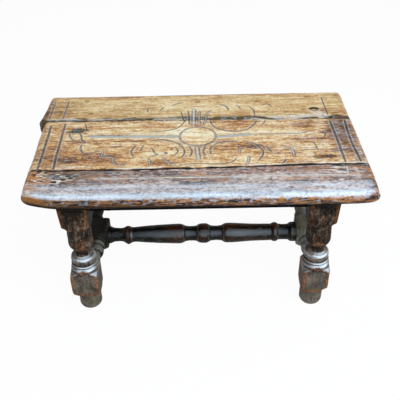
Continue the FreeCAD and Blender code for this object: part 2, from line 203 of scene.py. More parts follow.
def buildStage():
    material = bpy.data.materials.new("whitePaperSweep")  # matt paper: plain white, a faint shadow
    tree = freshTree(material)
    share = addNode(tree, "Math", (whiteSeen(tree), stageSet["seenWhite"]), operation="MULTIPLY")
    paper = addNode(tree, "BsdfDiffuse", {"Color": linear("#fcfcfc")})
    white = addNode(tree, "Emission", {"Color": linear("#ffffff"), "Strength": 1.0})
    mix = addNode(tree, "MixShader", (share, paper, white))
    addNode(tree, "OutputMaterial", {"Surface": mix})
    half = stageSet["floorSize"] / 2
    mesh = bpy.data.meshes.new("floor")
    corners = [(x, y, -stageSet["floorDrop"])
               for x, y in ((-half, -half), (half, -half), (half, half), (-half, half))]
    mesh.from_pydata(corners, [], [(0, 1, 2, 3)])
    mesh.materials.append(material)
    floor = addObject("floor", mesh)

    world = bpy.data.worlds.new("paleRoom")
    tree = freshTree(world)
    room = addNode(tree, "Background", {"Color": linear("#f2f4f8"), "Strength": stageSet["fill"]})
    seen = addNode(tree, "Background", {"Color": linear("#ffffff"), "Strength": 1.0})
    mix = addNode(tree, "MixShader", (whiteSeen(tree), room, seen))
    addNode(tree, "OutputWorld", {"Surface": mix})
    scene.world = world

    for name, lamp in lampSet.items():
        data = bpy.data.lights.new(name, "AREA")
        data.shape = "RECTANGLE"
        data.size, data.size_y = lamp["size"]
        data.color = linear(lamp["colour"])[:3]
        data.energy = lamp["brightness"] * data.size * data.size_y * math.pi
        place = Matrix.Translation(lamp["place"])
        aim = place.translation.to_track_quat("Z", "Y").to_matrix().to_4x4()
        addObject(name, data).matrix_world = place @ aim
    scene.view_settings.view_transform = "Standard"


buildStage()
print("camera, floor and lights set")


# Materials. A grain is its length and width in millimetres, then the noise's detail, roughness,
# bend and shift; the finest ones are drawn as coarse as they have to be to show
waxGrains = {
    "fibre": (30, 4.6, 4.0, 0.6, 0.4, 1.3), "streak": (130, 15, 3.0, 0.6, 0.4, 4.1),
    "cloud": (64, 40, 3.0, 0.6, 0.4, 7.7), "pore": (10, 2.6, 2.0, 0.5, 0.0, 2.9),
    "speck": (4.5, 3.0, 2.0, 0.7, 0.0, 5.5)}
smokeGrains = {
    "fibre": (12, 3.2, 4.0, 0.62, 0.3, 0.0), "cloud": (15, 11, 3.0, 0.6, 0.0, 3.3),
    "speck": (3.4, 2.4, 2.0, 0.6, 0.0, 8.1)}
waxFinish = {
    "weights": {"fibre": 1.9, "streak": 1.2, "cloud": 1.2, "speck": 1.6},  # each grain's in the colour
    "stops": (0.0, 0.36, 0.68, 1.0), "gloss": (0.3, 0.7, 0.55, 0.4), "relief": 0.6,
    "bump": 0.5, "bumpDepth": 0.6, "specular": 0.15, "coatRoughness": 0.2}
smokeFinish = {
    "weights": {"fibre": 1.4, "cloud": 1.6, "speck": 1.2},
    "stops": (0.05, 0.5, 0.95), "gloss": (0.3, 0.7, 0.55, 0.7), "relief": 0.8,
    "bump": 0.3, "bumpDepth": 0.4, "specular": 0.06, "coatRoughness": 0.15}
waxLayers = {  # marks painted over the oak, lowest first: tint, strength, and how specks break it up
    "gold": ("#b87c3e", 1.0, 2.0, -0.1),  # bare golden oak
    "bloomAndSheen": ("#bccdd8", 1.0, 2.2, -0.25),  # wax gone grey, with a painted sheen
    "crestHighlight": ("#e6f3fa", 0.85, 2.0, -0.1),  # painted highlight along the crest
    "dirtAndShade": ("#1a1615", 1.0, 1.4, 0.3),  # soot and dirt, and painted shade under the nosing and on the plug's rim
    "rubAndHighlight": ("#efe9da", 0.9, 2.4, -0.35),  # rubbed arrises and putty, and painted highlights beside the cuts and on the plug
    "core": ("#9bb0b8", 1.0, 1.6, 0.15),  # wax in the bed of a cut
    "cut": ("#2b3236", 1.0, 1.0, 0.55)}  # dirt in a cut
markKeys = ("tone", *waxLayers)
smokeKeys = ("worn", "deep", "polishAndHighlight", "tone", "dusty")
# Painted highlight, a pale tint laid into the colour towards the window: from and to are how squarely a
# face looks that way, raised is what every face that leans up and out gets of it
paintedHighlight = {"tint": "#dce8ea", "towards": (0.188, -0.69, 0.7), "from": 0.8, "to": 0.98, "raised": 0.28}


def startOak(name, tones, axis, grains, keys, finish, shift, contrast, level):
    # Oak's colour from its grains, along the axis that it grew, and the sockets of its marks
    material = bpy.data.materials.new(name)
    tree = freshTree(material)
    marks = {key: addNode(tree, "Attribute", attribute_name=key).outputs["Fac"] for key in keys}
    coords = addNode(tree, "TexCoord").outputs["Object"]
    grain = {}
    for key, (long, wide, detail, rough, bend, start) in grains.items():
        scale = [1 / (wide * mm)] * 3
        scale["xyz".index(axis)] = 1 / (long * mm)
        vector = addNode(tree, "Mapping", {"Vector": coords, "Scale": scale,
                                           "Location": [shift + start] * 3})
        grain[key] = addNode(tree, "TexNoise", {"Vector": vector, "Scale": 1.0, "Detail": detail,
                                                "Roughness": rough, "Distortion": bend})
    value = addNode(tree, "Math", (marks["tone"], level), operation="ADD")
    for key, weight in finish["weights"].items():
        value = addNode(tree, "Math", (grain[key], weight * contrast, value), operation="MULTIPLY_ADD")
    colour = addNode(tree, "ValToRGB", (value,), zip(finish["stops"], tones))
    return material, tree, marks, grain, colour


def finishOak(tree, colour, layers, gloss, rough, fine, coat, finish):
    # Tints over the wood, lowest first, then its gloss, its relief and its coat of wax
    for amount, tint in layers:
        mix = addNode(tree, "Mix", {0: amount, 6: colour, 7: linear(tint)}, data_type="RGBA")
        colour = mix.outputs[2]
    relief = addNode(tree, "Math", (rough, finish["relief"], fine), operation="MULTIPLY_ADD")
    bump = addNode(tree, "Bump", {"Height": relief, "Strength": finish["bump"],
                                  "Distance": finish["bumpDepth"] * mm})
    surface = addNode(tree, "BsdfPrincipled", {
        "Base Color": colour, "Roughness": gloss, "Normal": bump, "IOR": 1.5,
        "Specular IOR Level": finish["specular"], "Coat Weight": coat,
        "Coat Roughness": finish["coatRoughness"], "Coat IOR": 1.5})
    addNode(tree, "OutputMaterial", {"Surface": surface})


def waxedOak(name, tones, flakes, shift, contrast):
    # Oak board under old beeswax: open straight grain in light and dark streaks, dirt in every cut and
    # joint, painted shade under the front board's nosing, rubbed pale at the arrises with painted
    # highlights beside the cuts, a grey bloom on the wax with a painted sheen and highlight on the
    # nosing, and a soft shine from it
    material, tree, marks, grain, colour = startOak(
        name, tones, "x", waxGrains, markKeys, waxFinish, shift, contrast, 0.55 - contrast * 2.95)
    pores = addNode(tree, "MapRange", (grain["pore"], 0.34, 0.43, 0.6 * contrast, 0.0))
    shimmer = addNode(tree, "MapRange", (grain["pore"], 0.56, 0.68, 0.0, 0.55 * contrast))
    layers = [(pores, tones[0]), (shimmer, flakes)]
    for key, (tint, strength, spread, least) in waxLayers.items():
        broken = addNode(tree, "Math", (grain["speck"], spread, least), operation="MULTIPLY_ADD",
                         use_clamp=True)
        amount = addNode(tree, "Math", (marks[key], broken), operation="MULTIPLY")
        amount = addNode(tree, "Math", (amount, strength), operation="MULTIPLY", use_clamp=True)
        layers.append((amount, tint))
    # dirt and painted shade are dull and have no wax on them
    gloss = addNode(tree, "MapRange", (grain["fibre"], *waxFinish["gloss"]))
    gloss = addNode(tree, "Math", (marks["dirtAndShade"], 0.5, gloss), operation="MULTIPLY_ADD", use_clamp=True)
    wax = addNode(tree, "Math", (marks["bloomAndSheen"], 0.8, 0.12), operation="MULTIPLY_ADD", use_clamp=True)
    clean = addNode(tree, "Math", (1.0, marks["dirtAndShade"]), operation="SUBTRACT", use_clamp=True)
    coat = addNode(tree, "Math", (wax, clean), operation="MULTIPLY")
    finishOak(tree, colour, layers, gloss, grain["fibre"], grain["pore"], coat, waxFinish)
    return material


def darkOak(name, tones, axis, dustShare, wornColour="#a3673a", sheen=paintedHighlight):
    # Oak gone nearly black with smoke: rubbed back to brown wood at its arrises, polished by hands
    # where it stands proud and given a painted highlight there, with grey dust in the wax of what faces
    # up
    material, tree, marks, grain, colour = startOak(
        name, tones, axis, smokeGrains, smokeKeys, smokeFinish, 0.0, 1.0, -1.65)
    broken = addNode(tree, "Math", (grain["speck"], 3.4, -1.1), operation="MULTIPLY_ADD", use_clamp=True)
    rubbed = addNode(tree, "Math", (marks["worn"], broken), operation="MULTIPLY", use_clamp=True)
    normal = addNode(tree, "NewGeometry").outputs["Normal"]
    upward = addNode(tree, "SeparateXYZ", (normal,)).outputs["Z"]
    dust = addNode(tree, "MapRange", (upward, 0.1, 0.95, 0.0, dustShare))
    dust = addNode(tree, "Math", (dust, marks["dusty"]), operation="ADD", use_clamp=True)
    # painted highlight: the tint goes into the colour where a face looks towards the window
    toRoom = addNode(tree, "VectorMath", (normal, sheen["towards"]), operation="DOT_PRODUCT")
    facing = addNode(tree, "MapRange", (toRoom.outputs["Value"], sheen["from"], sheen["to"], 0.0, 1.0),
                     interpolation_type="SMOOTHSTEP")
    leaning = addNode(tree, "ValToRGB", (upward,),
                      [(0.05, "#000000"), (0.36, "#ffffff"), (0.66, "#dddddd"), (0.92, "#242424")])
    bright = addNode(tree, "Math", (leaning, sheen["raised"], facing), operation="MULTIPLY_ADD",
                     use_clamp=True)
    shine = addNode(tree, "Math", (marks["polishAndHighlight"], bright), operation="MULTIPLY", use_clamp=True)
    layers = ((rubbed, wornColour), (dust, "#7c7464"), (shine, sheen["tint"]),
              (marks["deep"], "#0a0807"))
    gloss = addNode(tree, "MapRange", (grain["speck"], *smokeFinish["gloss"]))
    wax = addNode(tree, "Math", (marks["polishAndHighlight"], 0.4, 0.01), operation="MULTIPLY_ADD", use_clamp=True)
    finishOak(tree, colour, layers, gloss, grain["fibre"], grain["speck"], wax, smokeFinish)
    return material


boardOaks = {board: waxedOak("waxedOak%sBoard" % board.title(), *look) for board, look in (
    ("back", (("#6b4a27", "#b68c50", "#e3c68c", "#f8e8be"), "#efe6c8", 0.0, 0.62)),
    ("middle", (("#643c1c", "#ba8244", "#e8c98f", "#faedc8"), "#ece8da", 21.0, 0.8)),
    ("front", (("#2a1b14", "#865a40", "#b89a86", "#dcd2ca"), "#c9c4c2", 47.0, 1.0)))}
legOak = darkOak("smokedOakLegs", ("#0d0a08", "#352a20", "#7a6c5d"), "z", 0.25)
# the side stretchers are one oak in two copies: the right painted paler as painted light, the left near
# black as painted shade, with its own painted highlight
litRightOak = darkOak("smokedOakRightStretcherPaintedLight", ("#5f5c4e", "#928e7b", "#b0ac98"), "y", 0.35)
shadedLeftOak = darkOak("smokedOakLeftStretcherPaintedShade", ("#040403", "#0b0b08", "#1c1c16"), "y", 0.06, sheen={
    "tint": "#a9a896", "towards": (0.55, -0.3, 0.78), "from": 0.6, "to": 0.98, "raised": 0.15})
midOak = darkOak("polishedOakMiddleStretcherPaintedHighlight", ("#050503", "#11100c", "#45443a"), "x", 0.0, "#80461e", {
    "tint": "#a4b0b4", "towards": (0.1, -0.78, 0.62), "from": 0.87, "to": 1.0, "raised": 0.0})
# the rails are painted near black, as painted shade under the top
shadedRailOak = darkOak("smokedOakRailsPaintedShade", ("#030202", "#080605", "#120d0a"), "x", 0.0)
pegOak = darkOak("smokedOakPegs", ("#2a2019", "#46372b", "#635040"), "z", 0.1)
print("materials made")


# Top: three boards. Each edge is (run, drop, tuck, rise): how far its moulding reaches in and
# down on the upper side, then in and up on the lower side. Tables run along the stool, or inwards
topSet = {
    "step": 0.85, "row": 0.95, "underRow": 9, "underSteps": 8,  # spacing and count of the mesh's rows
    "end": (9, 12, 10, 12), "nosing": (28, 13, 16, 12.5), "back": (12, 12, 4, 5),
    "frontArris": (2.6, 1.6, 0.8, 0.8), "backArris": (4.6, 2.4, 0.8, 0.8),
    "roundSteps": {"nosing": 30, "back": 9, "frontArris": 5, "backArris": 7}, "endSteps": 12,
    "rightSkew": 3.4, "backSkew": 1.8, "edgeWear": 0.7,
    # where the ends draw in: from which y, over how far, by how much at the left and at the right
    "endBends": ((-88, -45, 2, 1.4), (10, -50, 2.2, 0), (60, 25, 2.6, 0)),
    # worn hollows: depth, length, width, seed
    "hollows": ((0.22, 26, 3.6, 53), (0.12, 5, 4, 55), (0.45, 60, 34, 51)),
    # how far the real joints stray from straight
    "frontJointBend": ((-225, 0.5), (-187, 0.1), (-98, -2.2), (30, -0.2), (125, 2.4), (175, 3.4),
                       (235, 2)),
    "backJointBend": ((-232, 2), (-200, 3.2), (-140, 2), (-66, 1.9), (8, 0.6), (81, -0.8), (235, -2.2)),
    # wax bloom and painted sheen on the nosing: where its crest starts, its grey inwards from there, and
    # its share along
    "crest": ((-150, 1), (130, 0.1)),
    "bloomAndSheen": ((1.3, 0), (2.6, 0.6), (4.2, 1), (8.5, 0.95), (12, 0.5), (15, 0.5), (19, 0.75), (27, 0.25),
              (38, 0.16), (60, 0.06)),
    "bloomAndSheenAlong": ((-220, 0.8), (-150, 0.9), (-80, 1), (60, 1), (160, 0.86)),
    # painted shade on the front edge's band and underside, painted shade on the flat behind the crest,
    # top of the shade underneath
    "bandShade": ((-210, 0.32), (-110, 0.32), (-30, 0.02)), "flatShade": ((-150, 0.3), (-60, 0.12), (60, 0)),
    "shade": ((-150, 200.5), (150, 197)),
}
boardSet = {  # corners in plan: radius, then how far along and how deep the edge falls away beside it
    "front": {"near": "nosing", "far": "frontArris", "nearCorners": ((4, 46, 13), (3.5, 30, 4)),
              "farBend": "frontJointBend"},
    "middle": {"near": "frontArris", "far": "backArris", "nearBend": "frontJointBend",
               "farBend": "backJointBend"},
    "back": {"near": "backArris", "far": "back", "nearCorners": ((9, 1, 0), (1.5, 1, 0)),
             "farCorners": ((8, 1, 0), (4, 1, 0)), "nearBend": "backJointBend"},
}
# Peg heads on the top: the middle of each by board, how dark the ring round it is, and the grey wax
# bloom with painted sheen on the front board's, from front to back
pegSet = {
    "radius": 4, "dish": 0.35, "proud": 0.12, "bloomAndSheen": ((-118.5, 0.6), (-110.5, 0.25), (-99.5, 0.16)),
    "front": {"at": ((-79.7, -103.5), (12.9, -103.5), (102.2, -103.5), (-168, -111.85), (176, -111.85)),
              "ring": 0.45},
    "middle": {"at": ((-157, -47.7), (165, -47.7), (-157, 20.4), (165, 20.4)), "ring": 0.25},
    "back": {"at": ((-92.6, 106.5), (4, 106.5), (97.4, 106.5), (-168, 114.85), (176, 114.85),
                    (-157, 75.4), (165, 75.4)), "ring": 0.1},
}
topLow, topHigh = nodeBox("top_board_front")
backLow, backHigh = nodeBox("top_board_back")
sole, crown = topLow[2], topHigh[2]
topFront, topBack = topLow[1], backHigh[1]

# Incised lines, in millimetres on the top. A kind is (width, depth, darkness of the cut, paleness
# of its sides, rubbed and painted highlight, blue grey wax along its bed); a line is a row of x, y, x, y
# and so on, with its points given along the carver's strokes
cutKinds = {
    "border": (4, 1.1, 1, 0.5, 0.3), "faint": (3.6, 0.9, 0.7, 0.4, 0.4), "bold": (5, 1, 1, 0.2, 0.75),
    "level": (7.5, 1.1, 0.8, 0.4, 1.2), "leaf": (3.4, 0.9, 0.9, 0.5, 0.4),
    "fine": (2.5, 0.7, 0.85, 0.35, 0), "pale": (4.8, 0.7, 0.35, 0.2, 1), "stem": (7.5, 1, 0.9, 0.3, 1),
    "ring": (3.8, 1.1, 0.85, 0.5, 0.5)}
whiteBeds = ("bold", "pale", "stem")  # kinds whose bed is worn pale, not waxed
evenBeds = whiteBeds + ("level",)  # kinds whose bed shows along its whole length
cutLines = {
    "faint": [(-218, 118, -217.5, 90, -217, 60), (-197, 117, -197, 90, -197, 60)],
    "border": [(-211, 40, -210, 20, -209, -15, -208, -45, -208, -74),
        (-190.5, 46, -190, 14, -189, -16, -188.5, -44, -186.5, -76),
        (197, 42, 198, 6, 198.5, -27, 199, -70), (219, 42, 217, 5, 217, -26, 218.5, -48, 219.5, -70)],
    "fine": [(196, 112, 197, 75, 197, 58), (80, 6, 145, 6, 161, 10), (-21, 76, -18, 58, -15, 44),
        (-14, 50, -16, 43, -26, 26, -48, 19, -66, 17), (89, 60, 88, 78, 80, 90),
        (95, 30, 100, 36, 104, 46), (63, 93, 67, 87, 69, 79), (102, 91, 111, 95, 117, 85),
        (-36, 95, -27, 101, -18, 105), (-90, 73, -89, 79), (-27, -23, -23, -36, -30, -47),
        (-76, -34, -71, -18), (-21, -69, 1, -67, 32, -68, 50, -64, 56, -54),
        (-152, -38, -140, -34, -127, -31), (140, -40, 152, -38, 165, -38), (165, -19, 168, -39),
        (186, 8, 181, -8), (-162, 45, -158, 34, -155, 16)],
    "pale": [(199, -79, 197.5, -98),
        (-130, -98, -60, -98, 16, -98.5, 71, -98, 106, -97.5, 171, -98, 197.5, -99),
        (-9, -21, 3, -23, 15, -21)],
    "level": [(-152, 9, -110, 7, -66, 5, -23, 4), (30, 1, 55, 4, 80, 6)],
    "stem": [(3, -24, 4, -40, 5.5, -58), (-1.5, 84, -1.5, 66, -2, 36)],
    "leaf": [(-8, -24, -4, -36, -6.5, -50), (15, -23, 11.5, -37, 15, -49), (-10.5, 78, -9, 60, -8, 36),
        (23, 48, 24, 38, 29, 27, 40, 19, 58, 15, 75, 20, 87, 35, 90, 46),
        (37, 96, 45, 92, 50, 83, 50, 75), (-53, 80, -50, 86, -47, 90), (-71, 76, -72, 82, -71, 88),
        (-63, -8, -52, -5, -40, -6, -22, -17, -14, -36, -18, -52),
        (-59, -27, -55, -38, -51, -43, -61, -48), (-83, -47, -87, -34, -82, -18),
        (22, -45, 22, -28, 33, -15, 44, -12, 60, -12), (70, -14, 84, -21, 93, -43, 85, -62),
        (98, -27, 105, -44), (121, -59, 120, -65, 115, -71),
        (-179, 20, -179, 11, -170, -3, -154, -10, -160, 0, -162, 10, -166, 18),
        (-158, -13, -158, -25, -152, -38)],
    "bold": [(7, 77, 6, 56, 6, 34), (24, 78, 17.5, 65, 16, 50, 13, 36), (-63, -52, -60, -62, -61, -68),
        (-43, -51, -39, -58, -30, -66, -24, -71),
        (-111.5, -49.5, -109.5, -58, -105, -66, -98, -67, -92, -62),
        (-125.5, -30.5, -127, -40, -125.5, -45.5, -120, -46, -111.5, -49.5),
        (63, -26, 61, -34, 61, -43), (73, -49, 72, -58, 71, -65, 67, -73),
        (119, -26, 132, -36, 134, -54)]}
ringSet = {"centre": (4, 3.5), "radius": 25.5}  # the ring in the middle

# Stains and worn places: middle, half size along and across, how much lighter or darker
stainSet = [
    (-150, -50, 55, 14, -0.55), (-198, -40, 22, 60, -0.15), (-190, 30, 14, 30, -0.1),
    (178, -58, 22, 9, -0.4), (158, 26, 18, 9, -0.5), (183, 8, 9, 6, -0.4), (203, 0, 16, 70, -0.75),
    (60, 43, 34, 6, -0.45), (82, -26, 22, 7, -0.6), (-80, 30, 50, 4, -0.4), (-92, -7, 27, 3, -0.7),
    (-50, -62, 22, 6, -0.4), (-12, 12, 150, 22, 0.25), (4, 3, 26, 26, 0.1), (30, -45, 90, 22, 0.1),
    (-228, 90, 12, 40, -0.45), (-200, 75, 22, 18, -0.2), (-110, 128, 30, 10, -0.45),
    (80, 133, 150, 7, -0.5), (205, 100, 24, 30, 0.1), (0, 90, 110, 22, 0.2),
    (-185, -95, 30, 18, -0.3), (-90, -86, 80, 12, -0.35), (0, -110, 22, 5, -0.5),
    (100, -92, 90, 12, 0.1), (-150, 100, 60, 20, 0.05), (-60, 132, 130, 8, -0.4),
    (224, -20, 14, 120, -0.5), (189, -82, 16, 8, -0.6), (190, 74, 10, 6, -0.3),
    (90, 28, 60, 10, -0.15)]
# Black soot rubbed into the grain: middle, half size along and across, strength
sootSet = [
    (176, -56, 17, 5, 0.95), (179, -9, 5, 3, 0.8), (166, 37, 8, 3, 0.7), (-170, 23, 14, 6.5, 1),
    (186, -106, 14, 5, 0.6), (-109, -21, 6, 2, 0.6), (-39, -39.8, 2.4, 2.4, 0.9),
    (-32, -30, 1.6, 1.6, 0.8), (-77.7, -101, 6, 3, 0.8), (-9.8, -110, 7, 3, 0.6),
    (13, -107, 7, 3, 0.7), (102, -107, 6, 3, 0.7),
    (-35, -96, 22, 5, 0.35), (214, 30, 5, 22, 0.4), (-225, 74, 6, 12, 0.6), (150, -84, 22, 3, 0.35),
    (-150, -86, 30, 6, 0.45), (38, -104, 12, 4, 0.3), (-178, -60, 20, 4, 0.3)]

# Old pale putty and scuffs: middle, half size along and across, strength, height it fills
puttySet = [
    (-190, 58.5, 26, 1.6, 0.8, 0.8), (-140, 57, 24, 1.4, 0.5, 0.4), (-35, 54, 30, 1.8, 0.5, 0.5),
    (90, 50, 22, 2.4, 0.6, 1), (140, 54, 26, 5, 0.9, 1.6), (178, 57, 20, 5.5, 1, 1.5),
    (181, 65, 9, 3, 0.8, 0), (117, 36, 5, 2.5, 0.9, 0), (-160, -70, 30, 3.5, 0.5, 0),
    (186, -82, 12, 2.2, 0.8, 0), (178, -88, 7, 2, 0.8, 0), (188, -93, 9, 2.2, 0.7, 0),
    (200, -28, 4, 8, 0.5, 0), (-40, -108, 8, 6, 0.5, 0), (-111, -18, 6, 1.6, 0.7, 0),
    (-77, -105, 5, 2.4, 0.8, 0), (186, -109, 3.5, 2, 0.8, 0), (103, -110, 4, 1.6, 0.5, 0),
    (216, -92, 9, 3, 0.5, 0), (209, -86, 3, 6, 0.4, 0), (225, -60, 4, 20, 0.3, 0)]
chipSpot = (-188, -93, 38, 28)  # the chipped corner at the front left
plugSet = {"spot": (179.4, 74.5, 8, 6.5), "depth": 1.1}  # the dark plug in the back board


def smoothLine(points, spacing=2.0):
    # Catmull-Rom curve through the points, in short straight steps
    at = np.reshape(points, (-1, 2)).astype(float)
    at = np.concatenate([at[:1], at, at[-1:]])
    found = [at[1]]
    for a, b, c, d in zip(at, at[1:], at[2:], at[3:]):
        for t in np.linspace(0, 1, max(2, int(np.linalg.norm(c - b) / spacing)) + 1)[1:]:
            found.append(0.5 * (2 * b + (c - a) * t + (2 * a - 5 * b + 4 * c - d) * t ** 2
                                + (3 * b - a - 3 * c + d) * t ** 3))
    return np.array(found)


def carve(x, y):
    # Depth, dirt, waxed bed and pale sides, rubbed and painted highlight, that the incised lines leave at
    # each point of the top
    depth, cut, core, rubAndHighlight = (np.zeros(x.shape) for _ in range(4))
    patch = 0.75 + 0.5 * lumps(x / 9, y / 7, 0, 15)
    turn = np.linspace(0, 2 * math.pi, 60)
    ring = np.array(ringSet["centre"]) + ringSet["radius"] * np.stack([np.cos(turn), np.sin(turn)], -1)
    lines = [(kind, smoothLine(points)) for kind, rows in cutLines.items() for points in rows]
    for kind, line in lines + [("ring", ring)]:
        width, deepest, dark, pale, bed = cutKinds[kind]
        reach = width * 1.6
        low, high = line.min(0) - reach, line.max(0) + reach
        near = np.nonzero((x > low[0]) & (x < high[0]) & (y > low[1]) & (y < high[1]))
        spot = np.stack([x[near], y[near]], -1)[:, None]
        start, way = line[:-1][None], (line[1:] - line[:-1])[None]
        share = np.clip(((spot - start) * way).sum(-1) / (way ** 2).sum(-1), 0, 1)
        away = np.linalg.norm(spot - start - share[..., None] * way, axis=-1)
        closest = away.argmin(1)
        distance = away.min(1)
        length = closest + share[np.arange(len(closest)), closest]
        taper = 0.45 + 0.55 * ease(np.minimum(length, len(line) - 1 - length) / 3)
        if line is ring:
            taper = 1
        across = distance / (width / 2 * taper)  # 1 at the side of the cut
        depth[near] = np.maximum(depth[near], deepest * taper * (1 - ease(across)))
        even = 0.85 if kind in evenBeds else 0.0
        waxed = bed * np.maximum(patch[near], even) * (1 - ease((across - 0.2) / 0.5))
        core[near] = np.maximum(core[near], waxed * (0.4 if kind in whiteBeds else 1.0))
        dirt = dark * (1 - ease(across - 0.35)) * (1 - np.minimum(1.2 * waxed, 1))
        cut[near] = np.maximum(cut[near], dirt)
        sides = pale * ease(across - 0.3) * (1 - ease((across - 1.1) / 0.9))
        rubAndHighlight[near] = np.maximum(rubAndHighlight[near], np.maximum(sides, waxed) if kind in whiteBeds else sides)
    return depth, cut, np.clip(core, 0, 1), rubAndHighlight


def endHeight(distance, run):
    # Share of the full height that a board's rounded end has at a distance from it
    return np.sqrt(1 - (1 - np.clip(distance / run, 0, 1)) ** 2)


def cornerCut(distance, corner):
    # How far a rounded corner in plan sets an edge back, at a distance from the board's end
    radius, reach, back = corner
    gone = radius - np.minimum(distance, radius)
    return radius - np.sqrt(radius ** 2 - gone ** 2) + back * np.clip(1 - distance / reach, 0, 1) ** 1.5


def boardEdge(spec, edge, start, inward, x, fromEnds):
    # y of a board's near or far edge, with its rounded corners and its joint's bend or its wear
    y = np.full(x.shape, start)
    for corner, distance in zip(spec.get(edge + "Corners", ()), fromEnds):
        y = y + inward * cornerCut(distance, corner)
    wear = topSet["edgeWear"] * (0.5 + 0.5 * lumps(x / 14, 0, 9, 5))
    bend = spec.get(edge + "Bend")
    return y + (along(topSet[bend], x) if bend else inward * wear)


def boardSide(spec, upper, nearY, farY, endShare, flatCount):
    # One side of a board, upper or lower: y and z for every column and row, and edge closeness
    pick = (0, 1) if upper else (2, 3)
    nearRun, nearFall = (topSet[spec["near"]][i] for i in pick)
    farRun, farFall = (topSet[spec["far"]][i] for i in pick)
    endFall = topSet["end"][pick[1]]
    steps = [topSet["roundSteps"][spec[edge]] if upper else topSet["underSteps"]
             for edge in ("near", "far")]
    nearAngles, farAngles = (np.linspace(0, math.pi / 2, count, endpoint=False) for count in steps)
    farAngles = farAngles[::-1]
    shares = np.linspace(0, 1, flatCount)
    nearY, farY, endShare = (v[:, None] for v in (nearY, farY, endShare))
    y = np.concatenate([
        nearY + nearRun * (1 - np.cos(nearAngles)),
        nearY + nearRun + shares * (farY - farRun - nearY - nearRun),
        farY - farRun * (1 - np.cos(farAngles))], 1)
    nearHeight = np.concatenate([np.sin(nearAngles), np.ones(len(shares) + len(farAngles))])
    farHeight = np.concatenate([np.ones(len(shares) + len(nearAngles)), np.sin(farAngles)])
    fall = endFall * (1 - endShare) + endShare * (
        nearFall * (1 - nearHeight) + farFall * (1 - farHeight))
    z = crown - fall if upper else sole + fall
    return y, z, np.minimum(nearHeight, farHeight) * endShare


def boardEnds(name, y):
    # Left and right end of a board, worn a little uneven
    seed = 3 + len(name)
    left = np.full(y.shape, nodeBox("top_board_" + name)[0][0])
    if name == "back":
        left = left + topSet["backSkew"] * (y - backLow[1]) / (topBack - backLow[1])
    right = topHigh[0] - topSet["rightSkew"] * (y - topFront) / (topBack - topFront)
    for start, span, leftIn, rightIn in topSet["endBends"]:
        share = np.clip((y - start) / span, 0, 1)
        left, right = left + leftIn * share, right - rightIn * share
    wear = topSet["edgeWear"]
    left = left + wear * (0.5 + 0.5 * lumps(y / 17, 0, 0, seed)) * 0.9
    right = right - wear * (0.5 + 0.5 * lumps(y / 15, 5, 0, seed)) * 0.9
    return left, right


def ovalAway(x, y, spot):
    # 0 at the middle of an oval place on the top, 1 on its rim
    cx, cy, rx, ry = spot
    return np.hypot((x - cx) / rx, (y - cy) / ry)


def spotShare(x, y, spot, ragged):
    # 1 inside an oval place on the top, 0 outside, with a ragged edge
    return 1 - ease((ovalAway(x, y, spot) + ragged - 0.75) / 0.5)


def lay(marks, key, amount):
    # A mark keeps the stronger of what it holds and what is laid on
    marks[key] = np.maximum(marks[key], amount)


